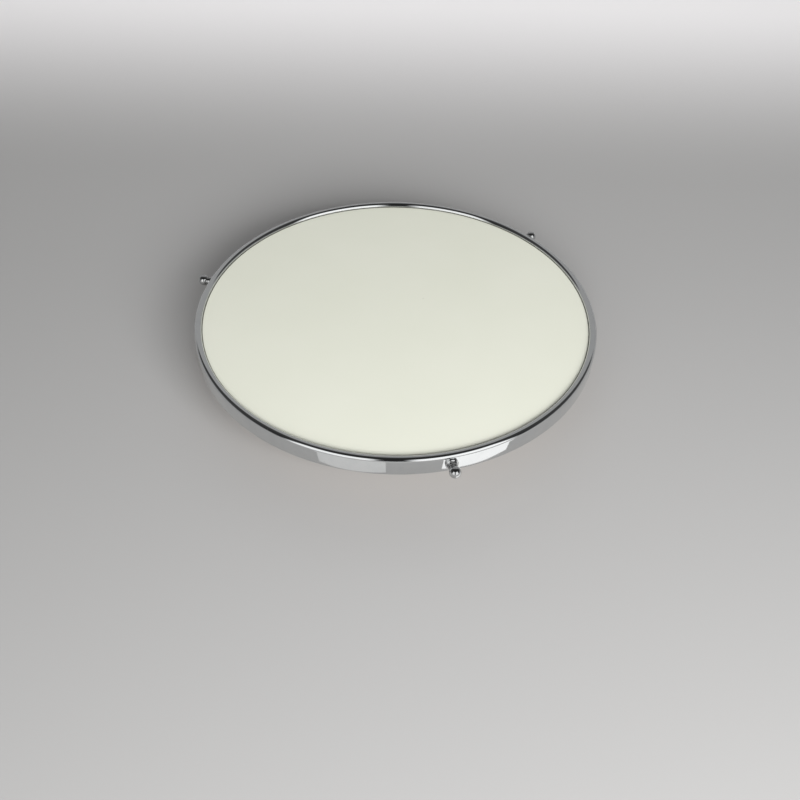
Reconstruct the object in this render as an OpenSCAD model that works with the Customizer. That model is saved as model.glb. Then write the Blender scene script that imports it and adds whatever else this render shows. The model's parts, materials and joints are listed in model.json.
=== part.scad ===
// Lazy susan turntable. A chromed rim band holds a white opal glass plate down on
// a wooden board. The board turns on a thrust ball bearing, over a spun metal foot
// on a cork pad. Three ball-headed screws in the band clamp it to the board's edge.
//
// Millimetres, +Z up. The origin is on the spin axis, on the surface that the cork
// pad rests on. The first clamp screw points along -Y.

/* [Rim band] */
// Outside diameter of the rim band
rim_d = 350; // [280:5:420]
// Thickness of the band's sheet metal
rim_wall = 1.2; // [0.8:0.1:1.6]
// Width of the half-round bead along the band's top, which ends in the lip
bead_w = 6.4; // [5:0.1:9]
// Height of the straight edge of the lip, below the bead
lip_leg = 0.1; // [0.1:0.1:2]
// Length of band below the board
skirt = 0.4; // [0.1:0.1:3]

/* [Plate and board] */
// Thickness of the glass plate
glass_t = 2.6; // [2:0.1:6]
// Width of the ground bevel round the glass
bevel_w = 3; // [2:0.25:5]
// Height of that bevel
bevel_h = 1; // [0.4:0.1:1.4]
// Clearance from the glass to the lip and to the band
glass_gap = 1; // [0.5:0.1:2]
// Thickness of the cork liner between glass and board
liner_t = 0.5; // [0.4:0.1:2]
// Thickness of the wooden board
board_t = 9.5; // [9:0.1:16]
// Clearance from the board's edge to the band
board_gap = 1.3; // [0.6:0.1:3]
// Width of the small chamfers on the board
board_chamfer = 0.4; // [0.3:0.1:1]

/* [Clamp screws] */
// Diameter of the ball head
ball_d = 9.5; // [7:0.5:13]
// Length of collar and waist between the washer and the ball
head_neck = 2.8; // [2:0.1:6]
// Diameter of the screw's stem
stem_d = 4; // [3:0.5:5]
// Diameter of the boss that the screw runs in
boss_d = 10.2; // [9.6:0.1:12]
// Length of the boss outside the band
boss_t = 2; // [1.5:0.1:5]
// Thickness of the loose washer on the stem
washer_t = 0.8; // [0.5:0.1:1.5]
// Depth of the dimple that the screw's tip presses into
dimple_t = 0.5; // [0.3:0.1:0.8]

/* [Bearing] */
// Diameter of the bearing balls
bearing_ball_d = 5; // [4:0.5:6]
// Number of bearing balls
bearing_balls_n = 16; // [8:1:18]
// Diameter of the circle through the balls' centres
bearing_pitch_d = 44; // [42:1:60]
// Thickness of metal under each groove
race_floor = 1; // [0.8:0.1:2]
// Gap between the two races
race_gap = 2.6; // [2:0.1:3]
// Thickness of the ball cage
cage_t = 1.2; // [0.8:0.1:1.6]
// Diameter of the spindle
spindle_d = 8; // [6:0.5:10]
// Thickness of the hub plate
hub_t = 2.4; // [2.2:0.1:4]
// Width of hub plate outside the bearing, where its screws are
hub_brim_w = 17; // [14:1:30]

/* [Foot] */
// Diameter of the foot
foot_d = 200; // [150:5:240]
// Height from the table to the foot's top
foot_h = 28; // [16:0.5:40]
// Thickness of the foot's sheet metal
foot_wall = 1.2; // [0.8:0.1:1.6]
// Width of the foot's flat top outside the bearing
foot_flat_w = 7; // [3:0.5:15]
// Thickness of the cork pad
pad_t = 2; // [1.5:0.25:4]
// Thickness of the board inside the foot
base_board_t = 4; // [3:0.5:8]

/* [Hidden] */
$fn = 96;

screws_n = 3;      // clamp screws, one node each

// Clearances
run_gap = 0.05;    // radial, round anything that turns or threads
seat_gap = 0.1;    // between faces that pass close by each other
pad_inset = 5;     // from the foot's outside to the cork pad
dimple_rim = 0.3;  // wood left between a screw's dimple and the board's chamfer
edge_lift = 0.8;   // the metal foot stays this far off the table
stem_play = 0.3;   // from a screw's full stem to the board's edge

rim_r = rim_d / 2;
band_in_r = rim_r - rim_wall;
bead_r = bead_w / 2;
lip_in_r = rim_r - bead_w;
lip_drop = bead_r + lip_leg;
glass_r = band_in_r - glass_gap;
glass_top_r = lip_in_r - glass_gap / 2;
board_r = band_in_r - board_gap;

// Bearing stack, from the foot's top upwards
ball_r = bearing_ball_d / 2;
pitch_r = bearing_pitch_d / 2;
ball_z = foot_h + race_floor + ball_r;
race_t = race_floor + ball_r - race_gap / 2;
race_in_r = pitch_r - 8;
race_out_r = pitch_r + 9;
groove_r = ball_r + run_gap;
cage_half_w = ball_r + 2;
race_rivet_r = pitch_r + groove_r + 3.6;
upper_race_z = ball_z + race_gap / 2;
hub_z = upper_race_z + race_t;
hub_r = race_out_r + hub_brim_w;

// Tray stack, from the hub upwards
board_z = hub_z + hub_t;
liner_z = board_z + board_t;
glass_z = liner_z + liner_t;
glass_top_z = glass_z + glass_t;
rim_top_z = glass_top_z + lip_drop;
rim_z = board_z - skirt;

// Spindle and what is on it
spindle_r = spindle_d / 2;
head_r = spindle_r + 6;
head_t = 2;
nut_flat = spindle_d * 1.6;
foot_washer_t = 1.2;
foot_nut_t = 4;
hub_bore_r = spindle_r + 3;
bush_flange_r = spindle_r + 5;
bush_flange_t = 1.2;
bush_top_z = board_z + 2;
top_washer_t = 1.2;
top_nut_t = 4.6;
top_washer_z = bush_top_z + seat_gap;
top_nut_z = top_washer_z + top_washer_t;
spindle_top_z = top_nut_z + top_nut_t + 0.4;
board_hole_r = spindle_r + 9;
sleeve_wall = 4;
washer_r = spindle_r + 4.5;

// Foot
board_play = 0.8;  // round and above the board inside the foot
foot_r = foot_d / 2;
foot_flat_r = race_out_r + foot_flat_w;
pad_r = foot_r - pad_inset;
base_board_r = foot_r - foot_wall - board_play;
foot_round_r = 1.8;
foot_under_z = foot_h - foot_wall;
foot_edge_h = pad_t + base_board_t + board_play + foot_wall;

// The foot's slope is two equal arcs that meet halfway, level at both ends
slope_w = foot_r - foot_round_r - foot_flat_r;
slope_h = foot_h - foot_edge_h;
slope_a = 2 * atan(slope_h / slope_w);
slope_r = (pow(slope_w, 2) + pow(slope_h, 2)) / (4 * slope_h);

// Clamp screws, along their own axis: 0 is the band's outside, and + is outwards
stem_r = stem_d / 2;
tip_r = stem_r - 0.8;
screw_z = liner_z - board_chamfer - dimple_rim - seat_gap - tip_r;
boss_r = boss_d / 2;
spigot_r = stem_r + 1.2;
screw_washer_r = stem_r + 2.3;
washer_x = boss_t + run_gap;
collar_x = washer_x + washer_t + run_gap;
collar_r = stem_r + 2.1;
collar_t = 1.1;
waist_r = stem_r + 1.3;
ball_head_r = ball_d / 2;
ball_x = collar_x + head_neck + sqrt(pow(ball_head_r, 2) - pow(waist_r, 2));
stem_in_x = -rim_wall - board_gap + stem_play;
tip_in_x = -rim_wall - board_gap - dimple_t + seat_gap;

// Hub screws
hub_screws_n = 4;
hub_screw_ring_r = race_out_r + hub_brim_w / 2;
hub_screw_r = 1.75;
hub_screw_head_r = 3.6;
hub_screw_len = hub_t + 7;
race_rivets_n = 3;
rivet_r = 1.25;
rivet_head_r = 2.1;
rivet_head_t = 0.8;

// ---- Shared shapes ----

// A flat ring on the spin axis
module ring(z, h, r_out, r_in, sides = 96) {
    translate([0, 0, z])
        difference() {
            cylinder(h = h, r = r_out, $fn = sides);
            translate([0, 0, -1]) cylinder(h = h + 2, r = r_in, $fn = sides);
        }
}

// Children repeated n times round the spin axis, the first at angle start
module round_axis(n, start = 0) {
    for (i = [0 : n - 1])
        rotate([0, 0, start + i * 360 / n]) children();
}

// Puts a child drawn along +Z on the axis of clamp screw k, with 0 at the band's outside
module at_screw(k) {
    rotate([0, 0, -90 + (k - 1) * 360 / screws_n])
        translate([rim_r, 0, screw_z])
            rotate([0, 90, 0]) children();
}

// The upper half of a bent strip's ring: outside radius r and thickness t
module half_bead(r, t) {
    intersection() {
        difference() {
            circle(r = r);
            circle(r = r - t);
        }
        translate([-r, 0]) square([2 * r, r]);
    }
}

// A rivet along +Z from z = 0 to len, with a countersunk head at both ends
module flush_rivet(len, gap = 0) {
    cylinder(h = len, r = rivet_r + gap);
    cylinder(h = rivet_head_t, r1 = rivet_head_r + gap, r2 = rivet_r + gap);
    translate([0, 0, len - rivet_head_t])
        cylinder(h = rivet_head_t, r1 = rivet_r + gap, r2 = rivet_head_r + gap);
}

// A countersunk wood screw along +Z, with its head at z = 0
module wood_screw(gap = 0) {
    tip_l = 2;
    cylinder(h = hub_screw_head_r - hub_screw_r, r1 = hub_screw_head_r + gap, r2 = hub_screw_r + gap);
    cylinder(h = hub_screw_len - tip_l, r = hub_screw_r + gap);
    translate([0, 0, hub_screw_len - tip_l])
        cylinder(h = tip_l + gap, r1 = hub_screw_r + gap, r2 = 0.4 + gap);
}

// A hexagonal nut with its bore on the spin axis
module hex_nut(z, h) {
    translate([0, 0, z])
        difference() {
            cylinder(h = h, d = nut_flat / cos(30), $fn = 6);
            translate([0, 0, -1]) cylinder(h = h + 2, r = spindle_r + run_gap);
        }
}

// The groove of the ball track
module ball_track() {
    rotate_extrude()
        translate([pitch_r, ball_z]) circle(r = groove_r);
}

// ---- Foot and spindle ----

module base_pad() {
    color("peru")
        cylinder(h = pad_t, r = pad_r);
}

module base_board() {
    color("burlywood")
        difference() {
            translate([0, 0, pad_t]) cylinder(h = base_board_t, r = base_board_r);
            translate([0, 0, pad_t - 1]) cylinder(h = head_t + 1, r = head_r + seat_gap);
            cylinder(h = foot_h, r = spindle_r + run_gap);
        }
}

// The area under the foot's surface, as a half section, with its wall pulled in by inset
module foot_outline(inset) {
    split = [foot_flat_r + slope_w / 2 - inset * sin(slope_a), foot_h - slope_h / 2 - inset * cos(slope_a)];
    intersection() {
        union() {
            square([foot_flat_r, foot_h - inset]);
            translate([foot_flat_r, foot_h - slope_r]) circle(r = slope_r - inset, $fn = 360);
        }
        square([split[0], foot_h]);
    }
    difference() {
        square([foot_flat_r + slope_w, split[1]]);
        translate([foot_flat_r + slope_w, foot_edge_h + slope_r])
            circle(r = slope_r + inset, $fn = 360);
    }
    square([foot_r - inset, foot_edge_h - foot_round_r]);
    translate([foot_r - foot_round_r, foot_edge_h - foot_round_r]) circle(r = foot_round_r - inset);
}

module base_foot() {
    color("silver")
        difference() {
            rotate_extrude()
                difference() {
                    foot_outline(0);
                    foot_outline(foot_wall);
                    translate([0, -1]) square([foot_r + 1, edge_lift + 1]);
                }
            cylinder(h = foot_h + 1, r = spindle_r + run_gap);
            lower_rivet_places() cylinder(h = foot_wall + 2, r = rivet_r + run_gap);
        }
}

module spindle() {
    color("lightsteelblue") {
        translate([0, 0, pad_t]) cylinder(h = head_t, r = head_r);
        translate([0, 0, pad_t]) cylinder(h = spindle_top_z - pad_t - 1, r = spindle_r);
        translate([0, 0, spindle_top_z - 1]) cylinder(h = 1, r1 = spindle_r, r2 = spindle_r - 1);
    }
}

module spacer_sleeve() {
    bottom = pad_t + base_board_t;
    color("gainsboro")
        ring(bottom, foot_under_z - bottom, spindle_r + sleeve_wall, spindle_r + run_gap);
}

module foot_washer() {
    color("gainsboro")
        ring(foot_h, foot_washer_t, washer_r, spindle_r + run_gap);
}

module foot_nut() {
    color("lightsteelblue")
        hex_nut(foot_h + foot_washer_t, foot_nut_t);
}

module retaining_washer() {
    color("gainsboro")
        ring(top_washer_z, top_washer_t, washer_r, spindle_r + run_gap);
}

module retaining_nut() {
    color("lightsteelblue")
        hex_nut(top_nut_z, top_nut_t);
}

// ---- Thrust ball bearing ----

module lower_race() {
    color("slategray")
        difference() {
            ring(foot_h, race_t, race_out_r, race_in_r);
            ball_track();
            lower_rivet_places() flush_rivet(race_t + foot_wall + rivet_head_t, run_gap);
        }
}

// Rivet axes, starting at the underside of the rivets' heads inside the foot
module lower_rivet_places() {
    round_axis(race_rivets_n, 30)
        translate([race_rivet_r, 0, foot_under_z - rivet_head_t]) children();
}

module lower_race_rivets() {
    len = race_t + foot_wall + rivet_head_t;
    color("gray")
        lower_rivet_places() {
            cylinder(h = len, r = rivet_r);
            cylinder(h = rivet_head_t, r = rivet_head_r);
            translate([0, 0, len - rivet_head_t])
                cylinder(h = rivet_head_t, r1 = rivet_r, r2 = rivet_head_r);
        }
}

module ball_places() {
    round_axis(bearing_balls_n)
        translate([pitch_r, 0, ball_z]) children();
}

module ball_cage() {
    color("goldenrod")
        difference() {
            ring(ball_z - cage_t / 2, cage_t, pitch_r + cage_half_w, pitch_r - cage_half_w);
            ball_places() translate([0, 0, -cage_t]) cylinder(h = 2 * cage_t, r = ball_r + run_gap);
        }
}

module bearing_balls() {
    color("whitesmoke")
        ball_places() sphere(r = ball_r);
}

module upper_race() {
    color("slategray")
        difference() {
            ring(upper_race_z, race_t, race_out_r, race_in_r);
            ball_track();
            upper_rivet_places() flush_rivet(race_t + hub_t, run_gap);
        }
}

module upper_rivet_places() {
    round_axis(race_rivets_n, 90)
        translate([race_rivet_r, 0, upper_race_z]) children();
}

module upper_race_rivets() {
    color("gray")
        upper_rivet_places() flush_rivet(race_t + hub_t);
}

// ---- Hub and tray ----

module hub_screw_places() {
    round_axis(hub_screws_n, 45)
        translate([hub_screw_ring_r, 0, hub_z]) children();
}

module hub_plate() {
    color("lightslategray")
        difference() {
            ring(hub_z, hub_t, hub_r, hub_bore_r);
            hub_screw_places() wood_screw(run_gap);
            upper_rivet_places() flush_rivet(race_t + hub_t, run_gap);
        }
}

module hub_bush() {
    color("darkgoldenrod")
        difference() {
            union() {
                translate([0, 0, hub_z - bush_flange_t]) cylinder(h = bush_flange_t, r = bush_flange_r);
                translate([0, 0, hub_z - bush_flange_t])
                    cylinder(h = bush_top_z - hub_z + bush_flange_t, r = hub_bore_r);
            }
            cylinder(h = rim_top_z, r = spindle_r + run_gap);
        }
}

module hub_screws() {
    color("gray")
        hub_screw_places() wood_screw();
}

module carrier_board() {
    c = board_chamfer;
    color("burlywood")
        difference() {
            rotate_extrude()
                polygon([
                    [board_hole_r, board_z], [board_r - c, board_z], [board_r, board_z + c],
                    [board_r, liner_z - c], [board_r - c, liner_z], [board_hole_r, liner_z]
                ]);
            hub_screw_places() wood_screw(run_gap);
            for (k = [1 : screws_n])
                at_screw(k)
                    translate([0, 0, tip_in_x - seat_gap]) cylinder(h = rim_wall + board_gap, r = tip_r + seat_gap);
        }
}

module plate_liner() {
    color("tan")
        translate([0, 0, liner_z]) cylinder(h = liner_t, r = board_r - board_chamfer);
}

module glass_plate() {
    color("ivory")
        rotate_extrude()
            polygon([
                [0, glass_z], [glass_r - 0.5, glass_z], [glass_r, glass_z + 0.5],
                [glass_r, glass_top_z - bevel_h],
                [glass_top_r + bevel_w, glass_top_z - bevel_h],
                [glass_top_r, glass_top_z], [0, glass_top_z]
            ]);
}

// The band's section: an upright wall, a half-round bead along its top and a short lip
module rim_section() {
    bead_z = rim_top_z - bead_r;
    translate([band_in_r, rim_z]) square([rim_wall, bead_z - rim_z]);
    translate([rim_r - bead_r, bead_z]) half_bead(bead_r, rim_wall);
    translate([lip_in_r, glass_top_z]) square([rim_wall, bead_z - glass_top_z]);
}

module rim_band() {
    color("silver")
        difference() {
            rotate_extrude() rim_section();
            for (k = [1 : screws_n])
                at_screw(k) translate([0, 0, -2 * rim_wall]) cylinder(h = 4 * rim_wall, r = spigot_r);
        }
}

// ---- Clamp screws ----

// A boss brazed to the band, with a spigot through the band's wall
module rim_boss(k) {
    edge = 0.5;
    color("silver")
        difference() {
            union() {
                difference() {
                    at_screw(k) {
                        translate([0, 0, -1]) cylinder(h = boss_t + 1 - edge, r = boss_r);
                        translate([0, 0, boss_t - edge]) cylinder(h = edge, r1 = boss_r, r2 = boss_r - edge);
                    }
                    cylinder(h = rim_top_z + 1, r = rim_r, $fn = 360);
                }
                intersection() {
                    at_screw(k) translate([0, 0, -2 * rim_wall]) cylinder(h = 2 * rim_wall + 0.5, r = spigot_r);
                    ring(0, rim_top_z, rim_r + 0.5, band_in_r, 360);
                }
            }
            at_screw(k) translate([0, 0, -5]) cylinder(h = boss_t + 10, r = stem_r + run_gap);
        }
}

module screw_washer(k) {
    color("gainsboro")
        at_screw(k)
            translate([0, 0, washer_x])
                difference() {
                    cylinder(h = washer_t, r = screw_washer_r);
                    translate([0, 0, -1]) cylinder(h = washer_t + 2, r = stem_r + run_gap);
                }
}

module ball_screw(k) {
    color("silver")
        at_screw(k) {
            translate([0, 0, tip_in_x]) cylinder(h = stem_in_x - tip_in_x, r = tip_r);
            translate([0, 0, stem_in_x]) cylinder(h = collar_x - stem_in_x, r = stem_r);
            translate([0, 0, collar_x]) cylinder(h = collar_t, r = collar_r);
            translate([0, 0, collar_x]) cylinder(h = ball_x - collar_x, r = waist_r);
            translate([0, 0, ball_x]) sphere(r = ball_head_r);
        }
}

base_pad();
base_board();
base_foot();
spindle();
spacer_sleeve();
foot_washer();
foot_nut();
lower_race();
lower_race_rivets();
retaining_washer();
retaining_nut();
ball_cage();
bearing_balls();
upper_race();
upper_race_rivets();
hub_plate();
hub_bush();
hub_screws();
carrier_board();
plate_liner();
glass_plate();
rim_band();
rim_boss(1);  // rim_boss_1
rim_boss(2);  // rim_boss_2
rim_boss(3);  // rim_boss_3
screw_washer(1);  // screw_washer_1
screw_washer(2);  // screw_washer_2
screw_washer(3);  // screw_washer_3
ball_screw(1);  // ball_screw_1
ball_screw(2);  // ball_screw_2
ball_screw(3);  // ball_screw_3
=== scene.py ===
import json
import math

import bmesh
import bpy
from mathutils import Matrix, Vector


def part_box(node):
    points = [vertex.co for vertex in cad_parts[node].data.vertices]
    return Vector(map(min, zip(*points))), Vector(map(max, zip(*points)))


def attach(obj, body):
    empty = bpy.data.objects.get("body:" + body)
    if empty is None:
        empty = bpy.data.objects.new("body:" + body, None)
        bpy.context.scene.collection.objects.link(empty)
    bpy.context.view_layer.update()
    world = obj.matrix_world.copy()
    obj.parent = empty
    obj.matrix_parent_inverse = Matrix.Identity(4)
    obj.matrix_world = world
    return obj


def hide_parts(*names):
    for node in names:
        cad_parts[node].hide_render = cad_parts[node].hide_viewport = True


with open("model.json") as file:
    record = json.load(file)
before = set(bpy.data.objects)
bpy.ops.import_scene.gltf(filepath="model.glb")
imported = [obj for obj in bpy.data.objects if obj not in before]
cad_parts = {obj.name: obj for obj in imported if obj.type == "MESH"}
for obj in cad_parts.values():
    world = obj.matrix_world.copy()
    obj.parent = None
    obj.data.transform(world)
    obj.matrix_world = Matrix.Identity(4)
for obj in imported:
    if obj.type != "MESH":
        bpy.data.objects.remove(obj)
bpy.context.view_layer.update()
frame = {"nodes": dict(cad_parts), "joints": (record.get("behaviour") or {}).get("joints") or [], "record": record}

MM = 0.001
TAU = 2 * math.pi

# ---- Sizes, from the frame ----

rim_low, rim_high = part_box("rim_band")
_, glass_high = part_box("glass_plate")
RIM_R = rim_high.x
RIM_Z = rim_low.z
RIM_TOP = rim_high.z
GLASS_TOP = glass_high.z
# The band's sheet thickness and the lip's straight leg, which no box shows, are the CAD's
RIM_WALL = 1.2 * MM
LIP_LEG = 0.1 * MM
BEAD_R = RIM_TOP - GLASS_TOP - LIP_LEG
LIP_IN_R = RIM_R - 2 * BEAD_R
SCREWS = (1, 2, 3)
JOINTS = {joint["name"]: joint for joint in frame["joints"]}
SLOT_OF = {part["node"]: part["material_slot"] for part in frame["record"]["subparts"]}

# ---- Camera ----

# Camera, floor, lights and surroundings are turned together, to see the screws from the photo's side
STAGE_ANGLE = math.radians(-15)
STAGE_TURN = Matrix.Rotation(STAGE_ANGLE, 4, "Z")
# The camera stands back from the spin axis, a little to its right, and above the rim's top
CAMERA_BACK = 619.2 * MM
CAMERA_SIDE = 5.3 * MM
CAMERA_RISE = 505.0 * MM
CAMERA_PITCH = math.radians(44.84)
CAMERA_ROLL = math.radians(1.373)
CAMERA_LENS = 40.76


def make_camera():
    forward = Vector((0, math.cos(CAMERA_PITCH), -math.sin(CAMERA_PITCH)))
    level = Vector((1, 0, 0))
    upright = level.cross(forward)
    right = level * math.cos(CAMERA_ROLL) + upright * math.sin(CAMERA_ROLL)
    up = right.cross(forward)
    turn = Matrix((right, up, -forward)).transposed().to_4x4()
    place = Matrix.Translation((CAMERA_SIDE, -CAMERA_BACK, RIM_TOP + CAMERA_RISE))
    data = bpy.data.cameras.new("camera")
    data.lens = CAMERA_LENS
    data.sensor_width = 36
    data.clip_start = 0.01
    camera = bpy.data.objects.new("camera", data)
    camera.matrix_world = STAGE_TURN @ place @ turn
    bpy.context.scene.collection.objects.link(camera)
    bpy.context.scene.camera = camera


# ---- Shader helpers ----


class Nodes:
    """A node tree, with short calls to add and join nodes."""

    def __init__(self, tree):
        self.tree = tree
        self.tree.nodes.clear()

    def put(self, socket, value):
        """Links value to the socket if it is another node's output, or else sets it there."""
        if isinstance(value, bpy.types.NodeSocket):
            self.tree.links.new(value, socket)
        else:
            socket.default_value = value

    def node(self, kind, inputs=None, **settings):
        made = self.tree.nodes.new(kind)
        for key, value in settings.items():
            setattr(made, key, value)
        for key, value in (inputs or {}).items():
            self.put(made.inputs[key], value)
        return made

    def maths(self, operation, a, b=0.0):
        return self.node("ShaderNodeMath", {0: a, 1: b}, operation=operation).outputs[0]

    def parts(self, vector):
        return self.node("ShaderNodeSeparateXYZ", {0: vector}).outputs

    def remap(self, value, low, high, out_low, out_high, smooth=False):
        """Takes low..high to out_low..out_high, held at the ends. smooth eases in and out."""
        kind = "SMOOTHSTEP" if smooth else "LINEAR"
        return self.node("ShaderNodeMapRange", {
            "Value": value, "From Min": low, "From Max": high, "To Min": out_low, "To Max": out_high,
        }, interpolation_type=kind).outputs[0]


class Shader(Nodes):
    """A material whose textures lie in the piece's own coordinates."""

    def __init__(self, name):
        self.material = bpy.data.materials.new(name)
        self.material.use_nodes = True
        super().__init__(self.material.node_tree)
        output = self.node("ShaderNodeOutputMaterial")
        self.surface = self.node("ShaderNodeBsdfPrincipled")
        self.put(output.inputs[0], self.surface.outputs[0])
        self.place = self.node("ShaderNodeTexCoord").outputs["Object"]

    def set(self, **values):
        """Sets or links the surface's own sockets, with _ for each space in their names."""
        for key, value in values.items():
            self.put(self.surface.inputs[key.replace("_", " ")], value)

    def scaled(self, vector, factors):
        return self.node("ShaderNodeVectorMath", {0: vector, 1: factors}, operation="MULTIPLY").outputs[0]

    def joined(self, x, y, z):
        return self.node("ShaderNodeCombineXYZ", {0: x, 1: y, 2: z}).outputs[0]

    def noise(self, size, detail=2.0, rough=0.5, vector=None, distortion=0.0):
        """Noise whose features are about `size` metres across, from 0 to 1."""
        made = self.node("ShaderNodeTexNoise", {
            "Vector": vector or self.place,
            "Scale": 1 / size,
            "Detail": detail,
            "Roughness": rough,
            "Distortion": distortion,
        })
        return made.outputs["Fac"]

    def cells(self, size, feature="F1", vector=None, output="Distance"):
        """Cells about `size` metres across."""
        inputs = {"Vector": vector or self.place, "Scale": 1 / size}
        return self.node("ShaderNodeTexVoronoi", inputs, feature=feature).outputs[output]

    def mix(self, factor, a, b):
        """Mixes two colours, whose sockets come after the Mix node's number and vector ones."""
        made = self.node("ShaderNodeMix", data_type="RGBA")
        self.put(made.inputs[0], factor)
        self.put(made.inputs[6], a)
        self.put(made.inputs[7], b)
        return made.outputs[2]

    def bump(self, height, depth, normal=None):
        """Bump from a height of 0 to 1 that stands for `depth` metres."""
        inputs = {"Strength": 1.0, "Distance": depth, "Height": height}
        if normal is not None:
            inputs["Normal"] = normal
        return self.node("ShaderNodeBump", inputs).outputs[0]

    def radius(self):
        """Distance from the spin axis."""
        x, y, _ = self.parts(self.place)
        squares = self.maths("ADD", self.maths("MULTIPLY", x, x), self.maths("MULTIPLY", y, y))
        return self.maths("SQRT", squares)

    def rings(self, pitch):
        """Noise that changes with the distance from the spin axis and not around it."""
        return self.noise(pitch, 3.0, 0.6, self.joined(self.radius(), 0.0, 0.0))


def rgb(red, green, blue):
    return (red, green, blue, 1.0)


# ---- Materials ----

# Name of the mesh attribute that says where shade is painted onto the chrome
SHADE_ATTRIBUTE = "painted_shade"


def rim_chrome(name, dark, light, wave_depth):
    """Bright chrome: a faint waviness, polish marks, dull pits, and painted shade where the mesh says."""
    s = Shader(name)
    haze = s.noise(9 * MM, 4.0, 0.6)
    pits = s.remap(s.cells(3.1 * MM), 0.03, 0.09, 1.0, 0.0, True)
    patch = s.remap(s.noise(14 * MM, 2.0), 0.54, 0.66, 0.0, 1.0, True)
    worn = s.maths("MULTIPLY", pits, patch)
    # Painted shade: the mesh's share, broken up by fine noise, darkens and dulls the chrome where shade falls
    painted_shade = s.node("ShaderNodeAttribute", attribute_name=SHADE_ATTRIBUTE).outputs["Fac"]
    shade_mottle = s.remap(s.noise(0.5 * MM, 3.0, 0.7), 0.30, 0.62, 0.35, 1.0, True)
    painted_shade = s.maths("MULTIPLY", painted_shade, shade_mottle)
    base = s.mix(worn, s.mix(haze, dark, light), rgb(0.30, 0.29, 0.27))
    base = s.mix(painted_shade, base, rgb(0.055, 0.05, 0.045))
    rough = s.maths("ADD", s.remap(haze, 0.35, 0.75, 0.035, 0.10), s.maths("MULTIPLY", worn, 0.35))
    s.set(
        Base_Color=base,
        Metallic=1.0,
        Roughness=s.maths("ADD", rough, s.maths("MULTIPLY", painted_shade, 0.45)),
    )
    wave = s.bump(s.noise(22 * MM, 1.0), wave_depth)
    scratch_place = s.scaled(s.place, (1.0, 1.0, 9.0))
    scratch = s.bump(s.noise(0.6 * MM, 3.0, 0.7, scratch_place), 0.0012 * MM, wave)
    s.set(Normal=s.bump(worn, 0.012 * MM, scratch))
    return s.material


def ball_steel():
    """Polished bearing steel with a light haze."""
    s = Shader("ball_steel")
    haze = s.noise(2 * MM, 3.0)
    s.set(
        Base_Color=s.mix(haze, rgb(0.62, 0.63, 0.65), rgb(0.74, 0.75, 0.77)),
        Metallic=1.0,
        Roughness=s.remap(haze, 0.3, 0.7, 0.06, 0.14),
    )
    s.set(Normal=s.bump(s.noise(0.3 * MM, 2.0), 0.001 * MM))
    return s.material


def opal_glass():
    """Glossy white opal glass: faint clouds, rare specks, hairline scratches, painted shade along the lip."""
    s = Shader("opal_glass")
    cloud = s.noise(60 * MM, 2.0)
    base = s.mix(cloud, rgb(0.785, 0.80, 0.685), rgb(0.82, 0.83, 0.725))
    speck = s.remap(s.cells(46 * MM), 0.010, 0.022, 1.0, 0.0, True)
    base = s.mix(s.maths("MULTIPLY", speck, 0.45), base, rgb(0.36, 0.35, 0.31))
    # Painted shade: a dark ring at the plate's edge, just inside the lip, for the shade in the gap under it
    edge = s.maths("ADD", s.radius(), s.maths("MULTIPLY", s.noise(3 * MM, 3.0, 0.7), 0.5 * MM))
    shade_share = s.remap(edge, LIP_IN_R - 0.75 * MM, LIP_IN_R - 0.05 * MM, 0.0, 1.0, True)
    base = s.mix(s.maths("MULTIPLY", shade_share, 0.85), base, rgb(0.075, 0.07, 0.06))
    long_place = s.scaled(s.place, (14.0, 1.0, 1.0))
    hair = s.noise(5 * MM, 2.0, 0.4, long_place, 1.5)
    hair = s.remap(hair, 0.70, 0.76, 0.0, 1.0, True)
    smear = s.noise(28 * MM, 4.0, 0.65, distortion=0.8)
    rough = s.remap(smear, 0.35, 0.75, 0.05, 0.15)
    s.set(
        Base_Color=base,
        Roughness=s.maths("ADD", rough, s.maths("MULTIPLY", hair, 0.12)),
        IOR=1.5,
    )
    wave = s.bump(s.noise(45 * MM, 1.0), 0.03 * MM)
    s.set(Normal=s.bump(hair, 0.001 * MM, wave))
    return s.material


# Height of one light and one dark ply together
PLY_PAIR = 2.72 * MM


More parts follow.
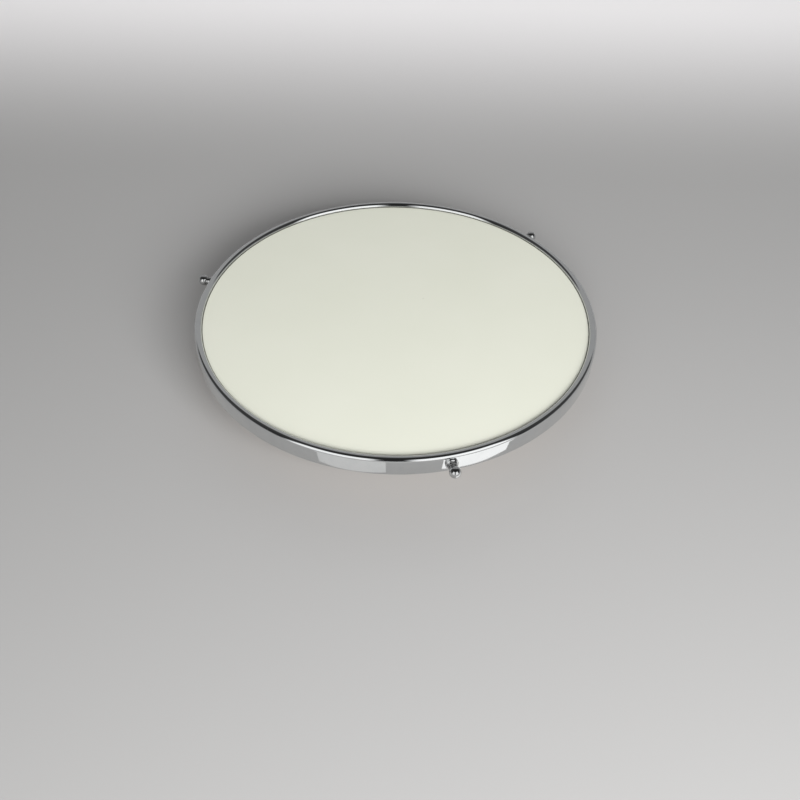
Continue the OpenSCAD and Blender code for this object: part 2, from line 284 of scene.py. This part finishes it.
def birch_board():
    """Varnished birch plywood: face grain above and below, seven plies round the edge."""
    s = Shader("birch_board")
    _, _, height = s.parts(s.place)
    long_place = s.scaled(s.place, (0.10, 1.0, 1.0))
    grain = s.noise(2.4 * MM, 5.0, 0.62, long_place, 0.6)
    figure = s.noise(26 * MM, 3.0, 0.5, s.scaled(s.place, (0.22, 1.0, 1.0)), 1.2)
    pore = s.noise(0.5 * MM, 2.0, 0.6, s.scaled(s.place, (0.05, 1.0, 1.0)))
    pore = s.remap(pore, 0.62, 0.72, 0.0, 1.0, True)
    face = s.mix(s.remap(figure, 0.3, 0.7, 0.0, 1.0), rgb(0.42, 0.285, 0.16), rgb(0.53, 0.385, 0.235))
    face = s.mix(s.remap(grain, 0.35, 0.7, 0.0, 0.55), face, rgb(0.33, 0.21, 0.11))
    face = s.mix(s.maths("MULTIPLY", pore, 0.5), face, rgb(0.22, 0.11, 0.045))
    ply = s.maths("SINE", s.maths("MULTIPLY", height, TAU / PLY_PAIR))
    ply = s.remap(ply, -0.25, 0.25, 0.0, 1.0, True)
    edge_grain = s.noise(0.7 * MM, 3.0, 0.6, s.scaled(s.place, (1.0, 1.0, 2.0)))
    edge = s.mix(ply, rgb(0.30, 0.165, 0.07), rgb(0.58, 0.385, 0.19))
    edge = s.mix(s.remap(edge_grain, 0.4, 0.8, 0.0, 0.5), edge, rgb(0.22, 0.12, 0.05))
    facing = s.parts(s.node("ShaderNodeNewGeometry").outputs["True Normal"])[2]
    flat = s.remap(s.maths("ABSOLUTE", facing), 0.5, 0.8, 0.0, 1.0)
    s.set(
        Base_Color=s.mix(flat, edge, face),
        Roughness=s.remap(grain, 0.3, 0.7, 0.30, 0.46),
        Coat_Weight=0.3,
        Coat_Roughness=0.2,
    )
    s.set(Normal=s.bump(grain, 0.02 * MM, s.bump(pore, 0.015 * MM)))
    return s.material


def cork():
    """Pressed cork: granules of several browns, dark flecks and fine seams between them."""
    s = Shader("cork")
    warp = s.scaled(s.joined(s.noise(1.2 * MM), s.noise(1.5 * MM), 0.0), (1.2 * MM, 1.2 * MM, 0.0))
    warped = s.node("ShaderNodeVectorMath", {0: s.place, 1: warp}, operation="ADD").outputs[0]
    granule = s.cells(2.2 * MM, vector=warped, output="Color")
    gap = s.cells(2.2 * MM, "DISTANCE_TO_EDGE", warped)
    tone = s.parts(granule)[0]
    fleck = s.remap(s.noise(0.9 * MM, 3.0, 0.7), 0.60, 0.68, 0.0, 1.0, True)
    base = s.mix(tone, rgb(0.34, 0.185, 0.085), rgb(0.52, 0.33, 0.17))
    base = s.mix(s.maths("MULTIPLY", fleck, 0.7), base, rgb(0.12, 0.055, 0.025))
    seam = s.remap(gap, 0.0, 0.09, 1.0, 0.0, True)
    base = s.mix(s.maths("MULTIPLY", seam, 0.55), base, rgb(0.16, 0.08, 0.035))
    s.set(Base_Color=base, Roughness=s.remap(tone, 0.0, 1.0, 0.78, 0.92))
    s.set(Normal=s.bump(seam, -0.12 * MM, s.bump(s.noise(0.4 * MM, 3.0), 0.05 * MM)))
    return s.material


def hardboard():
    """Dark pressed fibreboard, mottled and slightly streaked."""
    s = Shader("hardboard")
    fibre = s.noise(0.8 * MM, 5.0, 0.7, s.scaled(s.place, (1.0, 0.35, 1.0)), 1.0)
    mottle = s.noise(12 * MM, 3.0)
    base = s.mix(fibre, rgb(0.10, 0.052, 0.026), rgb(0.24, 0.14, 0.075))
    s.set(Base_Color=s.mix(s.maths("MULTIPLY", mottle, 0.5), base, rgb(0.16, 0.09, 0.05)))
    s.set(Roughness=s.remap(fibre, 0.3, 0.7, 0.55, 0.75), Normal=s.bump(fibre, 0.04 * MM))
    return s.material


def turned_metal(name, dark, light, rough_low, rough_high, ring_pitch, ring_depth):
    """Metal with fine rings round the spin axis, from spinning or turning."""
    s = Shader(name)
    ring = s.rings(ring_pitch)
    haze = s.noise(17 * MM, 4.0, 0.6)
    streak = s.rings(ring_pitch * 5)
    tone = s.maths("MULTIPLY", s.maths("ADD", haze, streak), 0.5)
    mark = s.noise(0.9 * MM, 2.0, 0.6, s.scaled(s.place, (1.0, 5.0, 1.0)), 0.8)
    mark = s.remap(mark, 0.70, 0.76, 0.0, 1.0, True)
    rough = s.remap(tone, 0.3, 0.7, rough_low, rough_high)
    s.set(
        Base_Color=s.mix(tone, dark, light),
        Metallic=1.0,
        Roughness=s.maths("ADD", rough, s.maths("MULTIPLY", mark, 0.08)),
        Anisotropic=0.5,
        Tangent=s.node("ShaderNodeTangent", direction_type="RADIAL", axis="Z").outputs[0],
    )
    s.set(Normal=s.bump(ring, ring_depth, s.bump(haze, 0.04 * MM)))
    return s.material


def zinc_steel():
    """Bright zinc plate: a fine spangle, a faint straw and blue cast, small knocks."""
    s = Shader("zinc_steel")
    spangle = s.parts(s.cells(1.1 * MM, output="Color"))[0]
    cast = s.noise(7 * MM, 2.0)
    base = s.mix(s.remap(cast, 0.35, 0.65, 0.0, 1.0), rgb(0.52, 0.55, 0.60), rgb(0.62, 0.60, 0.54))
    base = s.mix(s.maths("MULTIPLY", spangle, 0.35), base, rgb(0.74, 0.75, 0.77))
    knock = s.remap(s.cells(4.3 * MM), 0.02, 0.10, 1.0, 0.0, True)
    s.set(
        Base_Color=s.mix(s.maths("MULTIPLY", knock, 0.4), base, rgb(0.30, 0.30, 0.31)),
        Metallic=1.0,
        Roughness=s.remap(spangle, 0.0, 1.0, 0.26, 0.40),
    )
    s.set(Normal=s.bump(knock, -0.03 * MM, s.bump(s.noise(0.35 * MM, 3.0), 0.006 * MM)))
    return s.material


SHADERS = {
    "rim_chrome": rim_chrome("rim_chrome", rgb(0.60, 0.615, 0.62), rgb(0.70, 0.71, 0.71), 0.10 * MM),
    "ball_steel": ball_steel(),
    "opal_glass": opal_glass(),
    "birch_board": birch_board(),
    "cork": cork(),
    "hardboard": hardboard(),
    "zinc_steel": zinc_steel(),
    "spun_aluminium": turned_metal(
        "spun_aluminium", rgb(0.66, 0.67, 0.68), rgb(0.80, 0.80, 0.81),
        rough_low=0.20, rough_high=0.32, ring_pitch=0.35 * MM, ring_depth=0.010 * MM,
    ),
    "race_steel": turned_metal(
        "race_steel", rgb(0.40, 0.41, 0.42), rgb(0.56, 0.57, 0.58),
        rough_low=0.16, rough_high=0.30, ring_pitch=0.22 * MM, ring_depth=0.006 * MM,
    ),
    "brass": turned_metal(
        "brass", rgb(0.62, 0.42, 0.15), rgb(0.80, 0.60, 0.27),
        rough_low=0.22, rough_high=0.36, ring_pitch=0.18 * MM, ring_depth=0.006 * MM,
    ),
}

# The screws, their washers and their bosses are duller than the band, in the same slot
SCREW_PARTS = ("rim_boss", "screw_washer", "ball_screw")
SCREW_CHROME = rim_chrome("screw_chrome", rgb(0.46, 0.47, 0.475), rgb(0.60, 0.605, 0.60), 0.01 * MM)

# ---- Meshes ----

# Edges that bend more than this stay sharp, and points closer than this become one
SHARP_ANGLE = math.radians(38)
SAME_POINT = 1e-7
# Steps round the band and round a screw
BAND_SEGMENTS = 720
SCREW_SEGMENTS = 96


def arc(centre, radius, start, end, steps):
    """Points of an arc in the profile plane, angles in degrees."""
    points = []
    for i in range(steps + 1):
        angle = math.radians(start + (end - start) * i / steps)
        points.append((centre[0] + radius * math.cos(angle), centre[1] + radius * math.sin(angle)))
    return points


def lathe(name, profile, segments, painted_shade, turn=None, closed=True):
    """Turns a profile of (radius, height) round Z, then places it with turn.

    painted_shade gives each profile point its share of painted shade, from 0 to 1.
    """
    mesh = bmesh.new()
    shade_share = mesh.verts.layers.float.new(SHADE_ATTRIBUTE)
    columns = []
    for i in range(segments):
        angle = TAU * i / segments
        column = []
        for radius, height in profile:
            vert = mesh.verts.new((radius * math.cos(angle), radius * math.sin(angle), height))
            vert[shade_share] = painted_shade(radius, height)
            column.append(vert)
        columns.append(column)
    last = len(profile) if closed else len(profile) - 1
    for i in range(segments):
        here = columns[i]
        there = columns[(i + 1) % segments]
        for j in range(last):
            k = (j + 1) % len(profile)
            mesh.faces.new((here[j], there[j], there[k], here[k]))
    bmesh.ops.remove_doubles(mesh, verts=mesh.verts, dist=SAME_POINT)
    bmesh.ops.recalc_face_normals(mesh, faces=mesh.faces)
    if turn is not None:
        bmesh.ops.transform(mesh, matrix=turn, verts=mesh.verts)
    data = bpy.data.meshes.new(name)
    mesh.to_mesh(data)
    mesh.free()
    data.shade_smooth()
    data.set_sharp_from_angle(angle=SHARP_ANGLE)
    made = bpy.data.objects.new(name, data)
    bpy.context.scene.collection.objects.link(made)
    return made


def finish_piece(piece, body, node, shader):
    """Gives a new piece its material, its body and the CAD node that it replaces."""
    piece.data.materials.clear()
    piece.data.materials.append(shader)
    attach(piece, body)
    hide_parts(node)


def band_profile():
    """The rim band's section: wall, half-round bead and lip, with a softened lower edge."""
    edge = 0.35 * MM
    bead_z = RIM_TOP - BEAD_R
    bead_x = RIM_R - BEAD_R
    band_in = RIM_R - RIM_WALL
    lip_edge = 0.03 * MM
    points = arc((RIM_R - edge, RIM_Z + edge), edge, -90, 0, 5)
    points += arc((bead_x, bead_z), BEAD_R, 0, 180, 48)
    points += arc((LIP_IN_R + lip_edge, GLASS_TOP + lip_edge), lip_edge, 180, 270, 3)
    points += [(LIP_IN_R + RIM_WALL, GLASS_TOP)]
    points += arc((bead_x, bead_z), BEAD_R - RIM_WALL, 180, 0, 24)
    points += arc((band_in + edge / 2, RIM_Z + edge / 2), edge / 2, 180, 270, 3)
    return points


def band_painted_shade(radius, height):
    """Shade is painted along the lip's lower edge, where it meets the glass, and along the band's lower edge,
    under the tray.
    """
    lip_edge = GLASS_TOP + 0.45 * MM
    lip_out_r = RIM_R - 1.5 * BEAD_R
    wall_edge = RIM_Z + 0.2 * MM
    if height < lip_edge and radius < lip_out_r:
        return 0.8
    if height < wall_edge:
        return 0.7
    return 0.0


def make_band():
    """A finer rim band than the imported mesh, whose facets bright chrome would show."""
    band = lathe("rim_band_fine", band_profile(), BAND_SEGMENTS, band_painted_shade)
    finish_piece(band, "turntable", "rim_band", SHADERS["rim_chrome"])


# A clamp screw, as the CAD has it, along its axis from the band's outside
SCREW_TIP = -2.9 * MM
STEM_START = -2.2 * MM
COLLAR_START = 2.9 * MM
COLLAR_END = 4.0 * MM
SCREW_END = 13.87 * MM
TIP_R = 1.2 * MM
STEM_R = 2.0 * MM
COLLAR_R = 4.1 * MM
NECK_R = 3.3 * MM
BALL_R = 4.75 * MM


def screw_profile():
    """A ball-headed clamp screw's section, from its tip to the ball, along the screw's axis."""
    ball_x = SCREW_END - BALL_R
    soft = 0.42 * MM
    bevel = 0.2 * MM
    points = [(0.0, SCREW_TIP), (TIP_R - bevel, SCREW_TIP)]
    points += [(TIP_R, SCREW_TIP + bevel), (TIP_R, STEM_START)]
    points += [(STEM_R - bevel, STEM_START), (STEM_R, STEM_START + bevel), (STEM_R, COLLAR_START)]
    points += arc((COLLAR_R - soft, COLLAR_START + soft), soft, -90, 0, 6)
    points += arc((COLLAR_R - soft, COLLAR_END - soft), soft, 0, 90, 6)
    points += [(NECK_R, COLLAR_END)]
    neck_angle = math.degrees(math.asin(NECK_R / BALL_R))
    steps = 44
    for i in range(steps + 1):
        angle = math.radians(neck_angle + (180 - neck_angle) * i / steps)
        points.append((max(BALL_R * math.sin(angle), 0.0), ball_x - BALL_R * math.cos(angle)))
    return points


def screw_painted_shade(radius, height):
    """Shade is painted behind the collar and between collar and ball, fading out over the ball's shoulder."""
    if height < COLLAR_START + 0.15 * MM:
        return 1.0
    if height < COLLAR_END - 0.3 * MM:
        return 0.15
    neck_shade = 0.6
    fade_start = COLLAR_END + 0.9 * MM
    fade_length = 4 * MM
    return max(0.0, min(neck_shade, neck_shade - (height - fade_start) / fade_length))


def make_clamp_screw(number):
    """A finer clamp screw, on the axis of the joint that turns it."""
    joint = JOINTS[f"clamp_turn_{number}"]
    axis = Vector(joint["axis"]).normalized()
    across = Vector((0, 0, 1)).cross(axis)
    place = Matrix((across, axis.cross(across), axis)).transposed().to_4x4()
    place.translation = Vector(joint["pos_m"])
    name = f"ball_screw_{number}"
    screw = lathe(f"{name}_fine", screw_profile(), SCREW_SEGMENTS, screw_painted_shade, turn=place, closed=False)
    finish_piece(screw, f"clamp_screw_{number}", name, SCREW_CHROME)


make_band()
for number in SCREWS:
    make_clamp_screw(number)

# Every CAD piece keeps its mesh and gets its slot's material
for name, node in frame["nodes"].items():
    node.data.materials.clear()
    duller = name.startswith(SCREW_PARTS)
    node.data.materials.append(SCREW_CHROME if duller else SHADERS[SLOT_OF[name]])


# ---- Stage: floor, light and surroundings ----

FLOOR_R = 4.0
FLOOR_SEGMENTS = 96
# Painted light: the floor's paper is painted paler behind the tray, from one distance to the other, for light
# falling more strongly there
PALE_FROM = 0.30
PALE_BY = 0.85
# Height of the low panels, and their distance from the spin axis
PANEL_HEIGHT = 38 * MM
PANEL_REACH = 198 * MM

# Surroundings, in degrees: elevation from the horizon, azimuth from the camera's side
# The pale wall's top edge, behind the tray and at its sides, and how far it fades upwards
FAR_EDGE = 54.0
SIDE_EDGE = 3.0
WALL_FADE = 16.0
# Azimuths over which the side's edge rises to the far one, and the room by the camera turns to wall
SIDE_TO_FAR = (118.0, 150.0)
ROOM_TO_WALL = (50.0, 100.0)
# Radiance of wall and ceiling, and the share of it on the camera's side
WALL_LEVEL = 0.40
CEILING_LEVEL = 0.055
ROOM_SHARE = 0.45
# The windows' lowest and highest elevation, and how softly the sill and the other edges fade
SILL = 0.0
WINDOW_TOP = 47.0
SILL_FADE = 4.0
WINDOW_FADE = 5.0
# Each window's left and right azimuth, and its radiance
WINDOWS = (
    (-52.0, -9.0, 1.25),
    (10.0, 60.0, 1.40),
)


def floor_shader():
    """Pale paper with a fine tooth, and painted light that turns it paler behind the tray."""
    s = Shader("floor_paper")
    _, y, _ = s.parts(s.place)
    # Painted light: the paper's colour turns paler far behind the tray
    far_painted_light = s.remap(y, PALE_FROM, PALE_BY, 0.0, 1.0, True)
    fibre = s.noise(1.1 * MM, 3.0)
    base = s.mix(far_painted_light, rgb(0.445, 0.441, 0.437), rgb(0.96, 0.945, 0.95))
    s.set(Base_Color=base, Roughness=s.remap(fibre, 0.3, 0.7, 0.75, 0.85))
    s.set(Normal=s.bump(fibre, 0.01 * MM))
    return s.material


def make_floor():
    mesh = bmesh.new()
    bmesh.ops.create_circle(mesh, cap_ends=True, radius=FLOOR_R, segments=FLOOR_SEGMENTS)
    data = bpy.data.meshes.new("floor")
    mesh.to_mesh(data)
    mesh.free()
    floor = bpy.data.objects.new("floor", data)
    bpy.context.scene.collection.objects.link(floor)
    floor.matrix_world = STAGE_TURN
    data.materials.append(floor_shader())


def area_light(name, width, height, power, aim, stand):
    """A plain rectangular light: stand is its place before aim turns it round."""
    data = bpy.data.lights.new(name, "AREA")
    data.shape = "RECTANGLE"
    data.size = width
    data.size_y = height
    data.energy = power
    lamp = bpy.data.objects.new(name, data)
    lamp.matrix_world = STAGE_TURN @ aim @ stand
    bpy.context.scene.collection.objects.link(lamp)
    return lamp


def soft_box(name, azimuth, elevation, distance, width, height, power, centre=(0, 0, 0), spread=180):
    """A soft light aimed at centre. It lights the surfaces but is left out of the mirror reflections."""
    aim = Matrix.Translation(centre) @ Matrix.Rotation(math.radians(azimuth), 4, "Z")
    stand = Matrix.Rotation(math.radians(90 - elevation), 4, "X") @ Matrix.Translation((0, 0, distance))
    lamp = area_light(name, width, height, power, aim, stand)
    lamp.data.spread = math.radians(spread)
    lamp.visible_glossy = False


def low_panel(name, azimuth, width, power):
    """A small plain panel standing on the floor in front of the band. Only mirror reflections see it."""
    upright = Matrix.Rotation(math.radians(90), 4, "X")
    stand = Matrix.Translation((0, -PANEL_REACH, PANEL_HEIGHT / 2)) @ upright
    aim = Matrix.Rotation(math.radians(azimuth), 4, "Z")
    lamp = area_light(name, width, PANEL_HEIGHT, power, aim, stand)
    lamp.visible_camera = False
    lamp.visible_diffuse = False


class Surroundings(Nodes):
    """The world: a pale wall, high behind the tray and low beside it, a dark ceiling and two windows."""

    def __init__(self):
        world = bpy.data.worlds.new("surroundings")
        bpy.context.scene.world = world
        world.use_nodes = True
        super().__init__(world.node_tree)
        direction = self.node("ShaderNodeTexCoord").outputs["Generated"]
        turned = self.node("ShaderNodeVectorRotate", {"Vector": direction}, rotation_type="Z_AXIS")
        turned.inputs["Angle"].default_value = -STAGE_ANGLE
        x, y, z = self.parts(turned.outputs[0])
        towards_camera = self.maths("MULTIPLY", y, -1.0)
        self.elevation = self.degrees(self.maths("ARCSINE", z))
        self.azimuth = self.degrees(self.maths("ARCTAN2", x, towards_camera))
        light = {"Color": rgb(1, 1, 1), "Strength": self.radiance()}
        background = self.node("ShaderNodeBackground", light)
        output = self.node("ShaderNodeOutputWorld")
        self.put(output.inputs[0], background.outputs[0])

    def degrees(self, angle):
        return self.maths("MULTIPLY", angle, 180 / math.pi)

    def band(self, value, low, high, low_fade, high_fade):
        """1 between low and high, and 0 outside, with soft ends."""
        above = self.remap(value, low - low_fade, low + low_fade, 0.0, 1.0, True)
        below = self.remap(value, high - high_fade, high + high_fade, 1.0, 0.0, True)
        return self.maths("MULTIPLY", above, below)

    def window(self, left, right, radiance):
        wide = self.band(self.azimuth, left, right, WINDOW_FADE, WINDOW_FADE)
        tall = self.band(self.elevation, SILL, WINDOW_TOP, SILL_FADE, WINDOW_FADE)
        return self.maths("MULTIPLY", self.maths("MULTIPLY", wide, tall), radiance)

    def radiance(self):
        front = self.maths("ABSOLUTE", self.azimuth)
        edge = self.remap(front, *SIDE_TO_FAR, SIDE_EDGE, FAR_EDGE, True)
        top = self.maths("ADD", edge, WALL_FADE)
        wall = self.remap(self.elevation, edge, top, WALL_LEVEL, CEILING_LEVEL, True)
        share = self.remap(front, *ROOM_TO_WALL, ROOM_SHARE, 1.0, True)
        total = self.maths("MULTIPLY", wall, share)
        for window in WINDOWS:
            total = self.maths("ADD", total, self.window(*window))
        return total


make_camera()
make_floor()
Surroundings()
soft_box("key", azimuth=17, elevation=28, distance=1.6, width=1.3, height=0.6, power=37)
low_panel("panel_right", azimuth=26, width=76 * MM, power=0.0075)
low_panel("panel_left", azimuth=-12, width=72 * MM, power=0.0024)
# A metre above the floor behind the tray, so that the paper there is paler
soft_box(
    "backdrop", azimuth=180, elevation=80, distance=1.0, width=2.4, height=0.5, power=3.0,
    centre=(0, 1, 0), spread=95,
)

scene = bpy.context.scene
scene.view_settings.view_transform = "Standard"
scene.view_settings.look = "None"
scene.cycles.use_denoising = True
